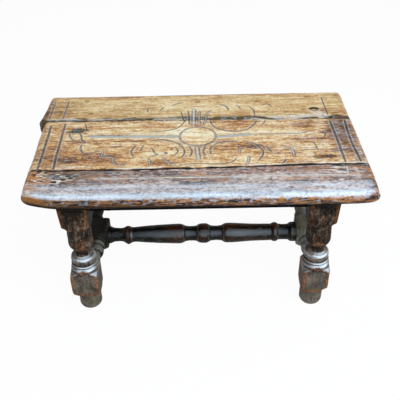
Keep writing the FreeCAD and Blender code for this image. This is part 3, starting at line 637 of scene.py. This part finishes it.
def ageTop(name, x, y, fine, thread):
    # The marks that age has left on the top, how deep it is cut, how high putty fills it, and
    # where its corner is chipped
    marks = {key: np.zeros(x.shape) for key in markKeys}
    depth, marks["cut"], marks["core"], marks["rubAndHighlight"] = carve(x, y)
    blotchy = 0.25 * lumps(x / 9, y / 4, 0, 11)
    for *spot, weight in stainSet:
        marks["tone"] += weight * (1 - ease((ovalAway(x, y, spot) + blotchy) / 1.5))
    # the joints: dirt on both sides of each gap, and arrises rubbed pale in places
    ragged = lumps(x / 11, y / 5, 0, 21)
    frontAway = y - (nodeBox("top_board_middle")[0][1] + along(topSet["frontJointBend"], x))
    backAway = np.abs(y - (backLow[1] + along(topSet["backJointBend"], x)))
    lay(marks, "dirtAndShade", 1 - ease((np.abs(frontAway + 1.2) - 1.6 - 1.2 * ragged) / 1.4))
    lay(marks, "dirtAndShade", 0.85 * (1 - ease((backAway - 3.8 - 2.6 * ragged) / 2.6)))
    frontArris = ease((frontAway - 0.8) / 0.8) * (1 - ease((frontAway - 2.8) / 1.5))
    lay(marks, "rubAndHighlight", frontArris * ease(0.75 + lumps(x / 30, 0, 0, 31)))
    backArris = 0.7 * (1 - ease(np.abs(backAway - 5.5) / 1.6))
    lay(marks, "rubAndHighlight", backArris * ease(lumps(x / 14, 3, 0, 33) * 2.2))
    for *spot, weight in sootSet:
        share = spotShare(x, y, spot, 0.6 * ragged) * weight
        lay(marks, "dirtAndShade", share * (0.85 + 0.3 * fine))
        lay(marks, "core", 0.45 * share * ease(fine * 3 - 0.9))
    lay(marks, "core", 0.55 * (1 - ease((backAway - 3.5) / 3)) * ease(thread * 2.6 - 0.5))
    filled = np.zeros(x.shape)
    for *spot, weight, height in puttySet:
        share = spotShare(x, y, spot, 0.5 * ragged) * weight
        lay(marks, "rubAndHighlight", share * (0.75 + 0.4 * fine))
        marks["dirtAndShade"] *= 1 - 0.9 * share
        filled = np.maximum(filled, height * share)
    # the chipped corner, with flakes gone from the front board and a little beyond its joint
    flakes = ease((lumps(x / 9, y / 3.2, 0, 41) + 0.15) * 3)
    hurt = flakes * (1 - ease(ovalAway(x, y, chipSpot) * 1.4 - 0.6)) * (frontAway < 12)
    lay(marks, "rubAndHighlight", hurt * ease(thread * 3.5 - 0.3))
    lay(marks, "dirtAndShade", 0.85 * hurt * ease(-0.1 - thread * 3.5))
    # the plug, dark in itself, with painted shade under its upper rim and a painted highlight along its
    # lower one
    away = ovalAway(x, y, plugSet["spot"])
    upper = ease(0.5 + (y - plugSet["spot"][1]) / plugSet["spot"][3] * 0.7)
    rimmed = ease((away - 0.45) / 0.3) * (1 - ease((away - 1.0) / 0.25))
    lay(marks, "dirtAndShade", rimmed * upper + 0.35 * (away < 0.9))
    lay(marks, "rubAndHighlight", 0.8 * rimmed * (1 - upper))
    depth = depth + plugSet["depth"] * (1 - ease((away - 0.6) / 0.4))
    for cx, cy in pegSet[name]["at"]:
        away = np.hypot(x - cx, y - cy)
        lay(marks, "dirtAndShade", pegSet[name]["ring"] * (1 - ease((np.abs(away - 4.6) - 0.5) / 0.8)))
        depth = np.maximum(depth, pegSet["dish"] * (1 - ease((away - 4.4) / 1.2)))
    return marks, depth, filled, hurt


def bandGold(x, z):
    # Golden patches in the dark band under the crest, on both sides of the arris
    return 0.85 * ease(lumps(x / 9, z / 1.4, 0, 69) * 2 + 0.3)


def waxNosing(marks, x, y, z, fromFront, fromLeft, fromRight, thread):
    # Grey bloom of old wax with a painted sheen on the crest of the nosing and thinner over the flat
    # behind it, a painted highlight along the crest, and the dark brown band under it, with painted shade
    # on the band and on the flat, deepest at the left
    lip = fromFront - along(topSet["crest"], x)
    bloomAndSheen = along(topSet["bloomAndSheen"], lip)
    bloomAndSheen = bloomAndSheen * np.clip(0.9 + 0.25 * lumps(x / 38, y / 5, 0, 61) + 0.15 * thread, 0, 1)
    bloomAndSheen = np.maximum(bloomAndSheen, 0.55 * ease(thread * 2.2 - 0.5))
    crestHighlight = hump(lip, 5.4, 1.9) * np.clip(0.6 + 0.9 * lumps(x / 30, 0, 0, 67) - x / 400, 0, 1)
    crestHighlight += 0.35 * hump(lip, 18.5, 2.0) * ease(0.5 + lumps(x / 22, 3, 0, 68))
    marks["crestHighlight"] = crestHighlight * (ease((fromLeft - 8) / 14) * ease((fromRight - 6) / 10))
    gold = 1.7 * marks["gold"] * ease((fromFront - 22) / 5) + 0.9 * (1 - ease((fromLeft - 22) / 22))
    band = 1 - ease((lip - 0.8) / 1.5)
    gold += band * bandGold(x, z)
    edgeShade = along(topSet["bandShade"], x)
    lay(marks, "dirtAndShade", band * edgeShade)
    marks["tone"] -= band * (0.2 + edgeShade)
    marks["gold"] = gold * (1 - bloomAndSheen)
    bloomAndSheen *= ease((fromLeft - 8) / 18) * ease((fromRight - 4) / 9)
    marks["bloomAndSheen"] = bloomAndSheen * along(topSet["bloomAndSheenAlong"], x)
    flat = along(topSet["flatShade"], x) * ease((fromFront - 26) / 6)
    marks["tone"] -= 0.3 * (1 - ease(lip / 2)) + flat
    marks["tone"] += 0.35 * (1 - ease(fromLeft / 34)) - 0.1 * ease((fromFront - 12) / 12)


def buildBoard(name):
    node, spec = "top_board_" + name, boardSet[name]
    low, high = nodeBox(node)
    length, breadth = high[0] - low[0], high[1] - low[1]
    endRun, _, endTuck, _ = topSet["end"]
    curve = endRun * (1 - np.cos(np.linspace(0, math.pi / 2, topSet["endSteps"], endpoint=False)))
    inner = np.linspace(endRun, length - endRun, int((length - 2 * endRun) / topSet["step"]))
    fromLeft = np.concatenate([curve, inner, length - curve[::-1]])
    fromRight = length - fromLeft
    endShare, underShare = (np.minimum(endHeight(fromLeft, run), endHeight(fromRight, run))
                            for run in (endRun, endTuck))
    nearY, farY = (boardEdge(spec, edge, start, inward, low[0] + fromLeft, (fromLeft, fromRight))
                   for edge, start, inward in (("near", low[1], 1), ("far", high[1], -1)))
    y, z, level = boardSide(spec, True, nearY, farY, endShare, int(breadth / topSet["row"]))
    yUnder, zUnder, _ = boardSide(spec, False, nearY, farY, underShare,
                                  int(breadth / topSet["underRow"]))
    fromLeft, fromRight, endShare = fromLeft[:, None], fromRight[:, None], endShare[:, None]
    left, right = boardEnds(name, y)
    x = left + fromLeft / length * (right - left)
    left, right = boardEnds(name, yUnder)
    xUnder = left + fromLeft / length * (right - left)

    fine, thread = lumps(x / 6, y / 2.5, 0, 43), lumps(x / 5, y / 1.6, 0, 45)
    marks, depth, filled, hurt = ageTop(name, x, y, fine, thread)
    marks["gold"] = 0.55 * ease(lumps(x / 34, y / 7, 0, 65) * 2.0 - 0.1) * ease(0.7 + fine)
    underShade = np.zeros(yUnder.shape)
    if name == "front":
        waxNosing(marks, x, y, z, y - nearY[:, None], fromLeft, fromRight, thread)
        # painted shade under the front board: darker lower down and towards the left, with some random
        # tone
        underShade -= 0.45 + 0.5 * ease((199 - zUnder) / 5) - 0.4 * lumps(xUnder / 20, zUnder / 2, 0, 63)
        underShade -= 0.45 * (1 - ease((xUnder + 100) / 140))
    else:
        # grey wax bloom with a painted sheen, thin everywhere and growing to the right on the middle
        # board
        greyedSheen = 0.06 + 0.2 * (name == "middle") * ease((x - 60) / 130)
        marks["bloomAndSheen"] += greyedSheen * np.clip(0.4 + 1.2 * fine, 0, 1)
        marks["tone"] -= 0.5 * ease((y - 127) / 8)

    worn = sum(deep * (0.5 + 0.5 * lumps(x / long, y / wide, 0, seed))
               for deep, long, wide, seed in topSet["hollows"])
    fallen = (worn + depth + 0.7 * hurt) * ease(level * 1.3)
    z = np.minimum(z - fallen + filled * (1 - level) * endShare, crown - worn * ease(level * 1.3))
    below = np.stack([xUnder, yUnder, zUnder], -1)[:, ::-1]
    rings = np.concatenate([np.stack([x, y, z], -1), below], 1)
    # painted shade underneath, strongest at the left
    edgeShade = along(topSet["bandShade"], xUnder)
    shade = ease((along(topSet["shade"], xUnder) - zUnder) / 3.5)
    dull = {"tone": underShade, "dirtAndShade": edgeShade + (0.95 - edgeShade) * shade, "gold": bandGold(xUnder, zUnder)}
    full = {key: np.concatenate([values, dull.get(key, np.zeros(underShade.shape))[:, ::-1]], 1)
            for key, values in marks.items()}
    loft("board_" + name, [(rings, full)], boardOaks[name], [node])
    return x, y, z


def buildPegHeads(name, surface):
    # Pegs with their heads flush in the worn top and waxed with it, one piece for a board's row
    node, radius = "top_pegs_" + name, pegSet["radius"]
    x, y, z = surface
    turn = np.arange(24) * 2 * math.pi / 24
    foot = nodeBox(node)[0][2]
    skins = []
    for cx, cy in pegSet[name]["at"]:
        away = np.hypot(x - cx, y - cy)
        top = z[away < 2.5].mean() + pegSet["dish"] + pegSet["proud"] - 0.1
        profile = [(radius, foot), (radius, top - 0.35), (radius - 0.5, top), (1.2, top + 0.03)]
        rings = np.array([[(cx + r * math.cos(t), cy + r * math.sin(t), h) for t in turn]
                          for r, h in profile])
        marks = {key: np.zeros(rings.shape[:2]) for key in markKeys}
        marks["tone"] -= 0.2
        if name == "front":
            marks["bloomAndSheen"] += along(pegSet["bloomAndSheen"], cy)
        skins.append((rings, marks))
    loft("peg_heads_" + name, skins, boardOaks[name], [node])


for boardName in boardSet:
    buildPegHeads(boardName, buildBoard(boardName))
print("top boards carved")


# Turned pieces: an outline is a row of (radius, height) with an optional bulge of the stretch
# that ends there, and "round" where the bulge is a half round
turnSet = {"step": 0.8, "blend": 0.7, "wear": 0.22}  # spacing of rows, softness at a square, wear


def sampleOutline(outline):
    found = [np.array(outline[0][:2], float)]
    for entry in outline[1:]:
        start, goal = found[-1], np.array(entry[:2], float)
        bulge = entry[2] if len(entry) > 2 else 0.0
        steps = int(np.linalg.norm(goal - start) / turnSet["step"]) + 1
        for t in np.linspace(0, 1, max(9 if bulge else 2, steps) + 1)[1:]:
            if len(entry) > 3:
                share, out = (1 - math.cos(math.pi * t)) / 2, bulge * math.sin(math.pi * t)
            else:
                share, out = t, 4 * bulge * t * (1 - t)
            found.append(start + (goal - start) * share + np.array([out, 0]))
    return np.array(found)


def softMin(a, b, blend):
    # The smaller of two, with a soft change from one to the other
    share = np.clip(0.5 + 0.5 * (b - a) / blend, 0, 1)
    return b * (1 - share) + a * share - blend * share * (1 - share)


def turnedRings(outline, squares, seed, around):
    # Rings about Z of a turned piece with square blocks; squares are (low, high, half width,
    # sharpness). The worn mark says where the wood is rubbed bare
    rows = sampleOutline(outline)
    radius, height = rows[:, :1], rows[:, 1:]
    turn = np.arange(around) * 2 * math.pi / around
    c, s = np.abs(np.cos(turn)), np.abs(np.sin(turn))
    flat = np.full((len(rows), around), 1e3)
    corner = np.zeros((len(rows), around))
    for low, high, half, sharp in squares:
        inside = (height >= low) & (height <= high)
        shape = half * (c ** sharp + s ** sharp) ** (-1 / sharp)
        flat = np.where(inside, shape, flat)
        corner = np.where(inside, ease((2 * c * s - 0.9) / 0.1), corner)
    full = softMin(radius, flat, turnSet["blend"])
    onSquare = ease((radius - flat) / 1.2 + 0.5)
    seam = hump(radius, flat, 1.3)
    rough = lumps(c * 9 + seed, s * 9, height / 9, seed)
    rough = rough + 0.5 * lumps(np.cos(turn) * 3, np.sin(turn) * 3, height / 3.5, seed + 1)
    full = full - turnSet["wear"] * (0.6 + 0.6 * rough)
    worn = np.maximum(corner * onSquare, seam * 0.9) * (0.75 + 0.5 * rough)
    x = full * np.cos(turn)
    y = full * np.sin(turn)
    rings = np.stack([x, y, np.broadcast_to(height, x.shape)], -1)
    return rings, np.clip(worn, 0, 1)


# Leg, from the sole up. Squares are (low, high, half width, sharpness), quirks that hold dirt and
# beads that hands polish and that get a painted highlight are (height, reach, strength), and the tables
# run up the leg
legSet = {
    "around": 144, "squares": ((31.5, 83, 18.7, 16), (150.5, 189, 18.45, 17)),
    "quirks": ((83.1, 0.5, 0.9), (87.3, 0.5, 0.9), (150.2, 0.5, 0.9), (77.2, 0.5, 0.45)),
    "polishAndHighlight": ((95.5, 6, 1), (85.3, 1.7, 0.9), (79.8, 2.6, 1), (73, 2.6, 0.8), (151.5, 1.2, 0.3)),
    "patches": ((108, 0), (116, 0.35), (128, 0.25), (140, 0.1), (156, 0.1), (163, 0.3), (178, 0.3),
                (186, 0)),
    # the tone's drop at the very top of the leg is painted shade under the top
    "tone": ((0, 0.3), (30, 0.1), (84, 0.1), (87.6, 0.3), (101, 0.2), (106, 0), (178, 0), (186, -0.4)),
    "dusty": ((0, 0.6), (30, 0.5), (34, 0.38), (68, 0.38), (74, 0)),
    "shadedSides": ((30, 0), (34, 0.35), (70, 0.35), (74, 0), (150, 0), (155, 0.8)),
    # chips: angle, height, depth, width in degrees, reach up and down
    "chips": {"front_right": (-45, 34, 4.5, 16, 9), "back_left": (130, 40, 2.5, 12, 10)},
    # the lower square's swelling outwards, and how far the foot was turned off centre
    "swell": {"front_left": 1.8}, "swellTable": ((32, 0), (42, 1), (64, 1), (76, 0)),
    "footShift": {"front_left": 0.4, "front_right": -1.4}}
legOutline = [
    (8, 0), (16.1, 10.5, 2.2), (16.1, 31), (18, 32), (23.6, 35.5), (27.1, 40, 0.5), (27.1, 67.5),
    (23.4, 73), (20.4, 75.6, -0.7), (19.3, 77.3), (16.8, 81.7, 1), (16, 82.5), (15.6, 83.2),
    (15.6, 86.7, 2.4, "round"), (14, 87), (14, 87.6), (14.2, 99.6, 3.2, "round"), (11.2, 101),
    (10.8, 104.5), (10.8, 111.8), (12.4, 112.3), (17.1, 123.5, 1.6), (16.6, 137), (15.6, 149.6),
    (15, 150.2), (15.6, 150.6), (20.5, 152.6), (27.1, 159.5, -1), (27.1, 188)]
roundFoot = [(4, 0), (10, 4), (14, 8), (16, 14)]  # the back legs' feet


def buildLeg(name, seed):
    node = "leg_" + name
    centre = nodeMiddle(node)
    outline = legOutline if name.startswith("front") else roundFoot + legOutline[2:]
    rings, worn = turnedRings(outline, legSet["squares"], seed, legSet["around"])
    height = rings[..., 2]
    if name in legSet["chips"]:
        turnAt, heightAt, chipDeep, wide, tall = legSet["chips"][name]
        turn = np.degrees(np.arctan2(rings[..., 1], rings[..., 0]))
        gone = chipDeep * hump(turn, turnAt, wide) * (1 - ease(np.abs(height - heightAt) / tall))
        rings[..., :2] *= (1 - gone / np.hypot(rings[..., 0], rings[..., 1]))[..., None]
    deep = humps(height, legSet["quirks"])
    polishAndHighlight = humps(height, legSet["polishAndHighlight"], 4) * (1 - worn)  # the squares' own faces are dull
    patchy = lumps(rings[..., 0] / 7, rings[..., 1] / 7, height / 8, seed + 7)
    worn = worn * np.where(height > 120, 0.5, 1.0)
    worn = np.maximum(worn, ease(patchy * 2 - 0.2) * along(legSet["patches"], height))
    worn = np.maximum(worn, (0.7 + 0.4 * patchy) * hump(height, 36, 2.6))
    tone = along(legSet["tone"], height)
    dusty = (1 - worn) * np.clip(0.9 + 0.5 * patchy, 0, 1.2) * along(legSet["dusty"], height)
    if name == "front_right":
        tone -= 0.1 * ease((height - 104) / 8)
    # painted shade: the squares' sides are darker than their fronts
    sideways = ease((np.abs(rings[..., 0]) - np.abs(rings[..., 1])) / 3)
    deep = np.maximum(deep, sideways * along(legSet["shadedSides"], height))
    # the squares that hold the rails spread a little towards the top on their outer side
    outward = math.copysign(1.0, centre[0])
    outer = np.clip(rings[..., 0] * outward / 18, 0, 1)
    spread = 2.4 * np.clip((height - 152) / 36, 0, 1)
    spread = spread + legSet["swell"].get(name, 0) * along(legSet["swellTable"], height)
    shift = legSet["footShift"].get(name, 0) * (1 - ease((height - 27) / 6))
    rings[..., 0] += outward * outer * spread + shift
    rings = rings + np.array([centre[0], centre[1], 0])
    marks = {"worn": worn, "deep": deep, "polishAndHighlight": polishAndHighlight, "tone": tone, "dusty": dusty}
    loft(node + "_turned", [(rings, marks)], legOak, [node])


for legIndex, legName in enumerate(("front_left", "front_right", "back_left", "back_right")):
    buildLeg(legName, 60 + legIndex)
print("legs turned")


# Side stretchers. A half outline runs from the middle out to one end; pulled says how far the left
# one's rear half has moved to the left
sideSet = {"around": 112, "block": (-22.6, 22.6, 16.8, 12),
           "quirks": ((22.9, 0.6, 0.8), (31.9, 0.6, 0.8), (46.2, 0.6, 0.8)),
           "pulled": ((22.5, 0), (28, 10), (50, 10), (95, 7))}
sideHalfOutline = [
    (24.7, 0), (24.7, 18), (15, 22.5, -0.8), (10.4, 22.8), (10.2, 31.5, 2.9, "round"), (10, 32.2),
    (10.2, 45.7, 2.7, "round"), (8.9, 46.2), (8, 85.7, 1.4), (8.5, 90.7, 2, "round"), (8.5, 95.4)]
sideFrontOutline = [(24.7, 0), (24.7, 10), (17, 18.5), (12.5, 22.8)] + sideHalfOutline[3:]
# The middle one from its left end to its right, as its turner left it, one half unlike the other.
# Rubbed places are (middle, reach, strength), and sags are rings turned a little off centre
middleSet = {
    "rubbed": ((-116.5, 2.6, 0.9), (-42, 13, 0.75), (2.5, 4.5, 0.8), (44, 11, 0.7), (75, 25, 0.4),
               (114.5, 2.6, 0.9)),
    "sags": ((-115.7, -1.2), (115.7, 0.4)), "quirks": (-26.6, -8, 12.6, 32.2),
    # polish along the stretcher, which also sets its painted highlight, stronger to the right
    "polishAndHighlight": ((-140, 0.15), (-110, 0.2), (-60, 0.45), (0, 0.35), (60, 0.6), (120, 0.45), (140, 0.4)),
    "crests": (-110.6, -28.8, -6.2, 11, 34, 119.5, 141)}
midOutline = [
    (14, -147.2), (13.4, -143), (11.2, -138, -0.3), (10.6, -129), (10.9, -124.5), (13.2, -120.6),
    (14.6, -117.8, 0.2), (14.6, -115.2, 0.1), (13, -112.2), (11.9, -108.6), (11.9, -105),
    (15.7, -39, 0.6), (13.9, -28.6, 0.8), (13.2, -27.2), (12.6, -26.4), (12.5, -8.2, -1), (13.3, -7.4),
    (14.6, -5.2, 0.2), (15.7, 0.6, 0.2), (15.7, 4), (14.6, 9.4, 0.4), (13.2, 12.2), (12.5, 12.8),
    (12.8, 31.8, -1), (13.6, 32.6), (15.8, 41.5, 0.7), (15.8, 47), (13.9, 76), (13.3, 105),
    (13.2, 108.6), (15, 112), (15.3, 114.8, 0.1), (15, 117), (12.8, 120), (12.3, 124.5),
    (12.5, 135, -0.2), (14.6, 138), (15.6, 140.5, 0.2), (15.6, 147.2)]


def mirrored(outline):
    # The same outline run from its far end back to the middle, on the other side of it
    flipped = [(outline[-1][0], -outline[-1][1])]
    for inner, outer in zip(outline[-2::-1], outline[:0:-1]):
        flipped.append((inner[0], -inner[1]) + tuple(outer[2:]))
    return flipped


def layAlong(rings, axis, centre):
    # Turns rings made about Z so that they run along another axis, round a centre
    x, y, z = np.moveaxis(rings, -1, 0)
    return np.stack((z, x, y) if axis == "x" else (x, z, y), -1) + centre


def buildSideStretcher(side, seed):
    node = "side_stretcher_" + side
    rear = sideHalfOutline[1:] if side == "right" else [(24.7, 22.3)] + sideHalfOutline[3:]
    outline = mirrored(sideFrontOutline) + rear
    rings, worn = turnedRings(outline, [sideSet["block"]], seed, sideSet["around"])
    place = rings[..., 2]
    deep = humps(np.abs(place), sideSet["quirks"])
    if side == "left":
        rings[..., 0] -= along(sideSet["pulled"], place)
    # more polish and painted highlight towards the front end
    polishAndHighlight = 0.05 + 0.45 * ease((-20 - place) / 6)
    marks = {"worn": worn * 0.15, "deep": deep, "polishAndHighlight": polishAndHighlight, "tone": np.zeros(worn.shape)}
    loft(node + "_turned", [(layAlong(rings, "y", nodeMiddle(node)), marks)],
         shadedLeftOak if side == "left" else litRightOak, [node])


def buildMiddleStretcher():
    node = "middle_stretcher"
    rings, _ = turnedRings(midOutline, [], 77, sideSet["around"])
    place = rings[..., 2]
    for ringAt, sag in middleSet["sags"]:
        rings[..., 1] += sag * hump(place, ringAt, 7)
    patchy = 0.8 + 0.5 * lumps(place / 12, rings[..., 0] / 6, rings[..., 1] / 6, 79)
    patchy = patchy * (0.3 + 0.7 * ease(rings[..., 1] / 14 + 0.5))  # mostly on top
    worn = patchy * humps(place, middleSet["rubbed"])
    deep = humps(place, [(quirk, 0.9, 0.7) for quirk in middleSet["quirks"]])
    # painted highlights on the beads' shoulders: lighter colour and more polish there
    crests = humps(place, [(crest, 1.6, 0.8) for crest in middleSet["crests"]])
    polishAndHighlight = np.maximum(along(middleSet["polishAndHighlight"], place), crests)
    tone = humps(place, [(crest, 1.3, 0.6) for crest in middleSet["crests"]])
    marks = {"worn": worn, "deep": deep, "polishAndHighlight": polishAndHighlight, "tone": tone}
    loft(node + "_turned", [(layAlong(rings, "x", nodeMiddle(node)), marks)], midOak, [node])


buildSideStretcher("left", 71)
buildSideStretcher("right", 74)
buildMiddleStretcher()
print("stretchers turned")


# What stays as the frame has it: rails, pegs and dowels
for nodeName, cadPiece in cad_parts.items():
    if cadPiece.hide_render:
        continue
    finish = shadedRailOak if nodeName.startswith("rail_") and "pegs" not in nodeName else pegOak
    cadPiece.data.materials.clear()
    cadPiece.data.materials.append(finish)
